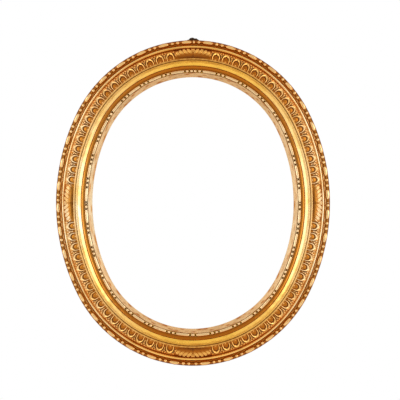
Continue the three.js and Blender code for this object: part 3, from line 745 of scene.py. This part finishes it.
class BeadCourse(NamedTuple):
    """A course of applied beads: one repeat, where its strips lie, how they are gilded, and the grime
    and painted shade on them.
    """

    name: str
    beads: tuple
    neck_length: float
    neck: float
    repeats: int
    starts: tuple
    middle: float
    seat: float
    drift: float
    gilt: bpy.types.Material
    grime_and_shade: float
    flank: float


OUTER = BeadCourse("outer", (OLIVE, OUTER_PEARL, OUTER_PEARL), neck_length=5.4, neck=2.2, repeats=10,
                   starts=(4.5, 0.0, -3.0, 11.5), middle=U_GROOVE / 2, seat=OUTER_SEAT_HEIGHT,
                   drift=BEAD_DRIFT, gilt=OLIVES, grime_and_shade=0.62, flank=0.7)
INNER = BeadCourse("inner", (BAR, INNER_PEARL, INNER_PEARL), neck_length=3.4, neck=1.5, repeats=8,
                   starts=(0.0, 16.0, 12.0, 5.0), middle=(U_INNER_BEAD + U_SLOPE) / 2,
                   seat=INNER_SEAT_HEIGHT, drift=0.0, gilt=BARS, grime_and_shade=0.85, flank=0.3)


def bead_profile(course, start):
    """Stations along a strip, and the radius at each. The ends of a strip may cut through a bead."""
    length = quarter_length(course.middle)
    repeat = sum(size + course.neck_length for size, _, _ in course.beads)
    stations, radii = [], []
    place = -repeat
    for _ in range(course.repeats + 2):
        for size, radius, blunt in course.beads:
            x = np.sin(np.linspace(-1, 1, LONG_STEPS if size > LONG_BEAD else SHORT_STEPS) * QUARTER)
            stations.append(place + course.neck_length / 2 + (x + 1) * size / 2)
            radii.append(course.neck + (radius - course.neck) * (1 - np.abs(x) ** blunt) ** (1 / blunt))
            place += size + course.neck_length
    stations = np.concatenate(stations) * length / (course.repeats * repeat) + start
    first, last = JOINT_GAP / 2, length - JOINT_GAP / 2
    inside = stations[(stations > first + LEAST_STEP) & (stations < last - LEAST_STEP)]
    along = np.concatenate([[first], inside, [last]])
    return along, np.interp(along, stations, np.concatenate(radii))


def bead_toning_and_shade(course, u, rise, radius):
    """Toning and wear of a strip of beads: grime and painted shade in its necks, and painted shade low
    on its sides, most on the outer side.
    """
    largest = max(bead[1] for bead in course.beads)
    deep = smooth_step(course.neck + 0.75 * (largest - course.neck), course.neck + 0.1, radius)
    outside = smooth_step(1.0, 0.4, rise / largest)
    inside = 0.4 * smooth_step(0.6, 0.1, rise / largest)
    shade = course.flank * np.where(u < course.middle, outside, inside)
    wear = smooth_step(0.8, 0.98, rise / largest)
    return {"toning_and_shade": np.maximum(course.grime_and_shade * deep, shade), "wear": wear}


def beading(course, quadrant):
    """A strip of beads: nearly round over a flat foot, on its backing."""
    along, radius = bead_profile(course, course.starts[quadrant])
    phi = heading(quadrant * quarter_length(course.middle) + along, course.middle)[:, None]
    radius = radius[:, None] * (0.98 + 0.05 * wander(phi, 5.0, 90))
    turn = np.radians(np.linspace(BEAD_ARC_START, BEAD_ARC_END, BEAD_ARC_POINTS))
    foot = BEAD_FOOT * course.neck + 0 * radius
    under = -BEAD_BACKING + 0 * radius
    u = course.middle + np.concatenate([-foot, radius * np.cos(turn), foot], 1)
    rise = np.concatenate([under, radius * np.sin(turn), under], 1)
    h = course.seat + BEAD_GLUE + BEAD_BACKING + rise
    points = on_frame(phi, u + course.drift * sideways(phi), h)
    attributes = bead_toning_and_shade(course, u, rise, radius)
    obj = loft(f"{course.name}_beads_{QUADRANTS[quadrant]}", points, [course.gilt], attributes)
    dress(obj, "gilt_carved", "frame", f"{course.name}_beading_{QUADRANTS[quadrant]}")


# Leaf clasps: two acanthus leaves back to back, each with lobes along its outer edge.
CLASP_RISE = 2.2
CLASP_BACK = -2.4
CLASP_OVERLAP = 0.4
CLASP_UNDERCUT = 1.2
CLASP_STEPS = 60
CLASP_STATIONS = 190
LEAF_MARGIN = 0.6
LOBE_LENGTH = 8.6
LOBE_DEPTH = 7.5
LOBE_LEAN = 0.85
LOBE_CUT = 2.4
VEIN_PITCH = 2.9
VEIN_BEND = 0.03
RIB_PLACE = 12.5
RIB_WIDTH = 1.5
KNOT_RISE = 1.8
KNOT_WIDTH = 1.6


def leaf_relief(x, v):
    """Relief, and toning with painted shade and highlight, of a clasp at x along from the joint and v
    inwards from the outer foot.
    """
    out = np.abs(x)
    taper = np.sqrt(np.clip(1 - (out / (CLASP_HALF_LENGTH + CLASP_OVERLAP)) ** 3, 0, 1))
    edge = OVOLO_WIDTH / 2 - (OVOLO_WIDTH / 2 - LEAF_MARGIN) * taper
    lean = out - LOBE_LEAN * (OVOLO_WIDTH - v)
    lobe = np.abs(lean / LOBE_LENGTH - np.floor(lean / LOBE_LENGTH) - 0.5) * 2
    tips = edge + LOBE_CUT * lobe ** 3
    inside = smooth_step(0.0, 1.0, v - tips) * smooth_step(0.0, 1.6, OVOLO_WIDTH - 0.8 * edge - v)
    fade = smooth_step(LOBE_DEPTH + 5.0, LOBE_DEPTH - 2.0, v - edge)
    swell = np.sqrt(np.clip(1 - lobe ** 2, 0, 1)) * fade
    veins = 0.5 + 0.5 * np.cos(2 * math.pi * (lean + VEIN_BEND * v ** 2) / VEIN_PITCH)
    rib = near(v, RIB_PLACE + 0.06 * out, RIB_WIDTH) * smooth_step(CLASP_HALF_LENGTH, 20.0, out)
    body = 0.30 + 0.55 * swell + 0.25 * veins * (0.35 + 0.65 * swell) + 0.30 * rib
    knot = near(x, 0.0, KNOT_WIDTH) * np.clip(1 - (2 * v / OVOLO_WIDTH - 1) ** 4, 0, 1)
    relief = np.maximum(CLASP_RISE * body * inside, KNOT_RISE * knot * (0.88 + 0.12 * np.cos(2.4 * x)))
    covered = np.maximum(inside, knot)
    crest = swell * (0.35 + 0.65 * veins)
    # Painted highlight and shade: the crests of the lobes, the veins and the rib painted light, the
    # knot, the inner half and the bare ground between the lobes dark.
    tone_and_shade = 0.86 - 1.1 * crest - 0.2 * rib - 0.3 * veins * (1 - swell) + 0.2 * knot
    tone_and_shade = np.minimum(tone_and_shade + 0.1 * smooth_step(10.0, 14.0, v), 0.78)
    tone_and_shade = tone_and_shade + (0.85 - tone_and_shade) * smooth_step(0.5, 0.1, covered)
    return relief - CLASP_UNDERCUT * smooth_step(0.3, 0.0, covered), np.clip(tone_and_shade, 0, 1)


def clasp(side):
    points, normals = ovolo(CLASP_STEPS)
    end = CLASP_HALF_LENGTH + CLASP_OVERLAP
    x = np.linspace(-end, end, CLASP_STATIONS)[:, None]
    v = points[None, :, 0] - U_OVOLO
    relief, tone_and_shade = leaf_relief(x, v)
    lift = np.concatenate([relief, np.full_like(relief, CLASP_BACK)], 1)
    base = np.concatenate([points, points[::-1]])
    normal = np.concatenate([normals, normals[::-1]])
    u = base[:, 0] + normal[:, 0] * lift
    h = base[:, 1] + normal[:, 1] * lift
    quarter = quarter_length(OVOLO_MID)
    phi = heading((side * quarter + x) % (4 * quarter), OVOLO_MID)
    # Painted light: the clasp painted paler near its outer foot at the lit sides of the frame.
    tone_and_shade = np.clip(tone_and_shade - 0.35 * sideways(phi) * smooth_step(4.5, 1.0, v), 0, 1)
    attributes = {"toning_and_shade": np.concatenate([tone_and_shade, tone_and_shade], 1), "wear": smooth_step(2.0, 2.8, lift)}
    obj = loft(f"leaf_clasp_{SIDES[side]}", on_frame(phi, u, h), [CARVED], attributes)
    dress(obj, "gilt_carved", "frame", f"acanthus_clasp_{SIDES[side]}")


# The ring: a lumpy wire that is thicker at its crown, with dents beside the middle of the crown.
# Places on it are in radians from its right. A dent has a place, a reach and a depth in wire radii.
RING_AROUND = 240
RING_SECTION = 18
RING_CROWN = 1.57
CROWN_REACH = 0.5
CROWN_SWELL = 1.3
RING_DENTS = ((1.36, 0.15, 0.75), (2.15, 0.14, 0.5))
RING_LUMPS = 11
RING_RIPPLES = 29


def forged_ring():
    low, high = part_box("hanging_ring")
    middle = [(a + b) / 2 for a, b in zip(low, high)]
    outer = (high[2] - low[2]) / 2
    wire = (high[1] - low[1]) / 2
    turn = circle(RING_AROUND)[:, None]
    ring = circle(RING_SECTION)[None, :]
    crown = near(turn, RING_CROWN, CROWN_REACH)
    dip = sum(share * wire * near(turn, place, span) for place, span, share in RING_DENTS)
    ripple = 0.08 * (1 - 0.75 * crown) * np.sin(RING_RIPPLES * turn + 2 * ring)
    lumps = 0.76 + 0.16 * (1 - crown) * np.sin(RING_LUMPS * turn + 0.4) + ripple
    depth = wire * lumps * (1 + CROWN_SWELL * crown)
    reach = outer - wire * (1 - lumps) * (1 - crown) - dip - depth * (1 - np.cos(ring))
    x = middle[0] + reach * np.cos(turn)
    z = middle[2] + reach * np.sin(turn)
    y = middle[1] + wire * lumps * np.sin(ring)
    obj = hoop("forged_ring", np.stack([x, y, z], -1), [IRON])
    dress(obj, "iron", "ring", "hanging_ring")


# The back: bare rails with butterfly keys across their joints. The eased edge of a key is given as
# levels of (back, grow). A tool passes the face that it cuts by CUT_PAST.
BACK_INSET = 3.0
U_REBATE = 66.0
BACK_DEPTH = 18.0
BACK_EASE = 1.0
BACK_STEP = 6.0
BACK_STATIONS = 72
BACK_WAVE = 0.12
CUT_PAST = 1.0
KEY_U = (BACK_INSET + U_REBATE) / 2
KEY_HALF_LENGTH = 26.0
KEY_END = 10.0
KEY_WAIST = 5.0
KEY_THICKNESS = 7.0
KEY_CLEARANCE = 0.3
KEY_EASE = ((0.0, -0.5), (-0.15, -0.2), (-0.5, 0.0))

# Turn buttons round the rebate, and the screws that they turn on. Seats are behind the rails.
PIVOT_U = 58.0
PIVOT_RADIUS = 6.0
NOSE_RADIUS = 3.5
NOSE_REACH = 11.0
BUTTON_SEAT = 0.3
BUTTON_THICKNESS = 1.6
BUTTON_HOLE = 2.2
BUTTON_BEVEL = 0.3
BUTTON_EASE = 0.6
EASE_MIDDLE = 0.2
HOLE_BEVEL = 0.2
BUTTON_AROUND = 96
SCREW_DEPTH = 11.0
SCREW_POINT = 1.5
SCREW_TIP = 0.2
SCREW_RADIUS = 1.5
SCREW_AROUND = 32
COLLAR_RADIUS = 1.9
HEAD_SEAT = 2.2
HEAD_RADIUS = 3.4
HEAD_HEIGHT = 1.8
HEAD_EDGE = 0.3
HEAD_BEVEL = 0.2
SLOT_WIDTH = 0.8
SLOT_DEPTH = 0.8
FIRST_SLOT_TURN = 0.4


def at_station(phi, u, out, back, along):
    """Points given outwards, backwards and along the course, in mm, from one place on the back."""
    out, back, along = np.broadcast_arrays(out, back, along)
    x = math.cos(phi) * out - math.sin(phi) * along
    z = math.sin(phi) * out + math.cos(phi) * along
    return on_frame(phi, u, 0.0) + np.stack([x, back, z], -1) * MM


def butterfly(name, phi, levels, material):
    """A butterfly-shaped block through levels of (back, grow), from its back forwards."""
    rings = []
    for back, grow in levels:
        end, waist, length = KEY_END + grow, KEY_WAIST + grow, KEY_HALF_LENGTH + grow
        out = np.array([end, waist, end, -end, -waist, -end])
        along = np.array([length, 0, -length, -length, 0, length])
        rings.append(at_station(phi, KEY_U, out, back, along))
    return loft(name, np.array(rings), [material])


def back_rail(side):
    corners = [[BACK_INSET, 0], [BACK_INSET, BACK_DEPTH], [U_REBATE, BACK_DEPTH], [U_REBATE, 0]]
    section = finely(rounded(corners, BACK_EASE), BACK_STEP)
    first = (side - 0.5) * QUARTER
    slack = JOINT_GAP / END_RADIUS
    phi = np.linspace(first + slack, first + QUARTER - slack, BACK_STATIONS)[:, None]
    h = section[:, 1] + BACK_WAVE * wander(phi, 2.0, 14) * (section[:, 1] > BACK_DEPTH / 2)
    obj = loft(f"bare_rail_{SIDES[side]}", on_frame(phi, section[:, 0], h), [PINE[side % 2]])
    pocket = ((CUT_PAST, KEY_CLEARANCE), (-KEY_THICKNESS - KEY_CLEARANCE, KEY_CLEARANCE))
    for turn in (first, first + QUARTER):
        combine(obj, butterfly("pocket", turn, pocket, PINE[side % 2]), "DIFFERENCE")
    crisp(obj, 32)
    dress(obj, "bare_wood", "frame", f"back_rail_{SIDES[side]}")


def joint_key(quadrant):
    levels = (*KEY_EASE, (-KEY_THICKNESS, 0.0))
    obj = butterfly(f"key_{QUADRANTS[quadrant]}", (quadrant + 0.5) * QUARTER, levels, KEY_WOOD)
    crisp(obj, 40)
    dress(obj, "key_wood", "frame", f"joint_key_{QUADRANTS[quadrant]}")


def button_edge(turn):
    """Distance from the pivot to the edge of a button, turned from the middle of its nose."""
    turn = np.abs((turn + math.pi) % (2 * math.pi) - math.pi)
    lean = math.acos((PIVOT_RADIUS - NOSE_RADIUS) / NOSE_REACH)
    nose = math.atan2(NOSE_RADIUS * math.sin(lean), NOSE_REACH + NOSE_RADIUS * math.cos(lean))
    straight = PIVOT_RADIUS / np.cos(np.minimum(turn, lean) - lean)
    beside = np.minimum(turn, nose)
    tip = NOSE_REACH * np.cos(beside) + np.sqrt(NOSE_RADIUS ** 2 - (NOSE_REACH * np.sin(beside)) ** 2)
    return np.where(turn < nose, tip, straight)


def turn_button(name, degrees):
    turn = circle(BUTTON_AROUND)[:, None]
    edge = button_edge(turn)
    top = BUTTON_SEAT + BUTTON_THICKNESS
    back = [BUTTON_SEAT, BUTTON_SEAT + BUTTON_BEVEL, top - BUTTON_EASE, top - EASE_MIDDLE, top,
            top, top - HOLE_BEVEL, BUTTON_SEAT]
    reach = [edge - BUTTON_BEVEL, edge, edge, edge - EASE_MIDDLE, edge - BUTTON_EASE]
    hole = BUTTON_HOLE + 0 * edge
    radius = np.concatenate([*reach, hole + HOLE_BEVEL, hole, hole], 1)
    out = -radius * np.sin(turn)
    points = at_station(math.radians(degrees), PIVOT_U, out, np.array(back), radius * np.cos(turn))
    obj = hoop(f"button_{name}", points, [BRASS])
    crisp(obj, 50)
    dress(obj, "brass", f"button_{name}", f"turn_button_{name}")


def slot_cutter(phi, turn):
    """A bar across the head of a screw, turned about its axis."""
    reach, half = 2 * HEAD_RADIUS, SLOT_WIDTH / 2
    length = np.array([reach, reach, -reach, -reach])
    width = np.array([half, -half, -half, half])
    out = length * math.cos(turn) - width * math.sin(turn)
    along = length * math.sin(turn) + width * math.cos(turn)
    back = HEAD_SEAT + HEAD_HEIGHT + np.array([[CUT_PAST], [-SLOT_DEPTH]])
    return loft("slot", at_station(phi, PIVOT_U, out, back, along), [BRASS])


def pivot_screw(name, degrees):
    shank = [(SCREW_TIP, -SCREW_DEPTH), (SCREW_RADIUS, SCREW_POINT - SCREW_DEPTH),
             (SCREW_RADIUS, BUTTON_SEAT), (COLLAR_RADIUS, BUTTON_SEAT), (COLLAR_RADIUS, HEAD_SEAT)]
    dome = arc(0.0, HEAD_SEAT + HEAD_EDGE, HEAD_RADIUS, HEAD_HEIGHT - HEAD_EDGE, 0, 86, 8)
    profile = np.concatenate([shank, [(HEAD_RADIUS - HEAD_BEVEL, HEAD_SEAT)], dome])
    phi = math.radians(degrees)
    turn = circle(SCREW_AROUND)
    radius, back = profile[:, :1], profile[:, 1:]
    points = at_station(phi, PIVOT_U, radius * np.cos(turn), back, radius * np.sin(turn))
    obj = loft(f"screw_{name}", points, [BRASS])
    combine(obj, slot_cutter(phi, 2 * phi + FIRST_SLOT_TURN), "DIFFERENCE")
    crisp(obj, 40)
    dress(obj, "brass", "frame", f"pivot_screw_{name}")


# The hanger eye and its shank.
EYE_WIRE = 1.5
EYE_RADIUS = 4.0
EYE_AROUND = 48
EYE_SECTION = 16
SHANK_RADIUS = 1.7
SHANK_DEPTH = 13.0
SHANK_POINT = 3.0
SHANK_TIP = 0.3
SHANK_AROUND = 20


def hanger_eye():
    """A loop of wire that stands out from the back, on a shank driven into the top rail."""
    low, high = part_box("hanger_eye")
    behind = high[1] / MM - EYE_RADIUS - EYE_WIRE
    height = (low[2] + high[2]) / 2
    turn = circle(EYE_AROUND)[:, None]
    ring = circle(EYE_SECTION)[None, :]
    reach = EYE_RADIUS + EYE_WIRE * np.cos(ring)
    x = -EYE_WIRE * np.sin(ring) + 0 * turn
    points = np.stack([x, behind + reach * np.cos(turn), reach * np.sin(turn)], -1) * MM
    obj = hoop("screw_eye", points + [0, 0, height], [IRON])
    profile = np.array([(SHANK_TIP, -SHANK_DEPTH), (SHANK_RADIUS, SHANK_POINT - SHANK_DEPTH),
                        (SHANK_RADIUS, behind - EYE_RADIUS)])
    turn = circle(SHANK_AROUND)
    radius, back = profile[:, :1], profile[:, 1:]
    sides = (radius * np.cos(turn), back + 0 * turn, radius * np.sin(turn))
    combine(obj, loft("shank", np.stack(sides, -1) * MM + [0, 0, height], [IRON]), "UNION")
    crisp(obj, 60)
    dress(obj, "iron", "frame", "hanger_eye")


# Camera, light and floor. Distances here are in metres, and the sensor is in millimetres.
MM_PER_PIXEL = 1.988
IMAGE_PIXELS = 400
FRAME_CENTRE_PIXEL = (193.0, 203.0)
CAMERA_DISTANCE = 10.0
OUTLINE_DEPTH = 0.026
SENSOR_WIDTH = 36.0


def add_camera():
    camera = bpy.data.objects.new("camera", bpy.data.cameras.new("camera"))
    scene.collection.objects.link(camera)
    right = (IMAGE_PIXELS / 2 - FRAME_CENTRE_PIXEL[0]) * MM_PER_PIXEL * MM
    up = (FRAME_CENTRE_PIXEL[1] - IMAGE_PIXELS / 2) * MM_PER_PIXEL * MM
    camera.location = (right, -CAMERA_DISTANCE, up)
    camera.rotation_euler = (QUARTER, 0, 0)
    view = IMAGE_PIXELS * MM_PER_PIXEL * MM
    camera.data.sensor_width = SENSOR_WIDTH
    camera.data.lens = SENSOR_WIDTH * (CAMERA_DISTANCE - OUTLINE_DEPTH) / view
    scene.camera = camera


def softbox(name, place, size, power):
    """A rectangular lamp that faces the middle of the frame."""
    light = bpy.data.lights.new(name, "AREA")
    light.shape = "RECTANGLE"
    light.size, light.size_y = size
    light.energy = power
    obj = bpy.data.objects.new(name, light)
    scene.collection.objects.link(obj)
    obj.location = place
    x, y, z = (-value for value in place)
    pitch = math.atan2(z, math.hypot(x, y))
    obj.rotation_euler = (QUARTER + pitch, 0, math.atan2(y, x) - QUARTER)


# Lamps: name, place and size in metres, and power in watts.
LAMPS = (("soft_left", (-2.2, -1.5, 0.5), (1.2, 2.2), 14),
         ("soft_right", (2.2, -1.5, 0.5), (1.2, 2.2), 14),
         ("side_left", (-2.4, -0.35, 0.1), (1.2, 2.4), 5),
         ("side_right", (2.4, -0.35, 0.1), (1.2, 2.4), 9))

# How bright the room is, and its front in reflections, and where that front fades into the backdrop.
ROOM_LEVEL = 0.7
FRONT_LEVEL = 0.74
FADE_START = -0.8
FADE_END = -0.05


def add_world():
    """A white backdrop behind the frame, also in its reflections, and a dimmer room in front of it."""
    n = Nodes(bpy.data.worlds.new("studio"), "Background")
    scene.world = n.owner
    path = n.add("ShaderNodeLightPath").outputs
    axes = n.add("ShaderNodeSeparateXYZ")
    n.link(n.add("ShaderNodeTexCoord").outputs["Generated"], axes.inputs[0])
    backdrop = n.span(axes.outputs["Y"], FADE_START, FADE_END, FRONT_LEVEL, 1.0)
    shiny = n.math("MAXIMUM", path["Is Glossy Ray"], path["Is Transmission Ray"])
    reflected = n.between(shiny, ROOM_LEVEL, backdrop)
    n.set("Color", (1, 1, 1, 1))
    n.set("Strength", n.between(path["Is Camera Ray"], reflected, 1.0))


def add_light():
    for lamp in LAMPS:
        softbox(*lamp)
    add_world()


# The floor, and where it fades to white, as shares of its radius.
FLOOR_HEIGHT = -0.62
FLOOR_RADIUS = 1.6
FLOOR_AROUND = 96
FLOOR_FADE_START = 0.5
FLOOR_FADE_END = 0.95


def add_floor():
    """A pale floor that runs out into the white backdrop, and is white in reflections."""
    n = Nodes(bpy.data.materials.new("floor"))
    n.set("Base Color", (0.9, 0.9, 0.9, 1))
    n.set("Roughness", 0.8)
    path = n.add("ShaderNodeLightPath").outputs
    far = n.add("ShaderNodeVectorMath", operation="LENGTH")
    n.link(n.place(), far.inputs[0])
    rim = n.span(far.outputs["Value"], FLOOR_FADE_START * FLOOR_RADIUS, FLOOR_FADE_END * FLOOR_RADIUS)
    white = n.math("MULTIPLY", path["Is Camera Ray"], rim)
    white = n.math("ADD", white, n.math("ADD", path["Is Glossy Ray"], path["Is Transmission Ray"]))
    glow = n.add("ShaderNodeEmission")
    mixed = n.add("ShaderNodeMixShader")
    n.link(white, mixed.inputs[0])
    n.link(n.shader.outputs[0], mixed.inputs[1])
    n.link(glow.outputs[0], mixed.inputs[2])
    n.link(mixed.outputs[0], n.tree.nodes["Material Output"].inputs["Surface"])
    turn = circle(FLOOR_AROUND)
    verts = FLOOR_RADIUS * np.stack([np.cos(turn), np.sin(turn), 0 * turn], -1)
    floor = make_mesh("floor", verts, [list(range(len(turn)))], [n.owner])
    floor.location.z = FLOOR_HEIGHT


scene.view_settings.view_transform = "Standard"
for i in range(4):
    carved_rail(i)
    liner(i)
    beading(OUTER, i)
    beading(INNER, i)
    clasp(i)
    back_rail(i)
    joint_key(i)
for name, degrees in BUTTONS.items():
    turn_button(name, degrees)
    pivot_screw(name, degrees)
hanger_eye()
forged_ring()
add_camera()
add_light()
add_floor()
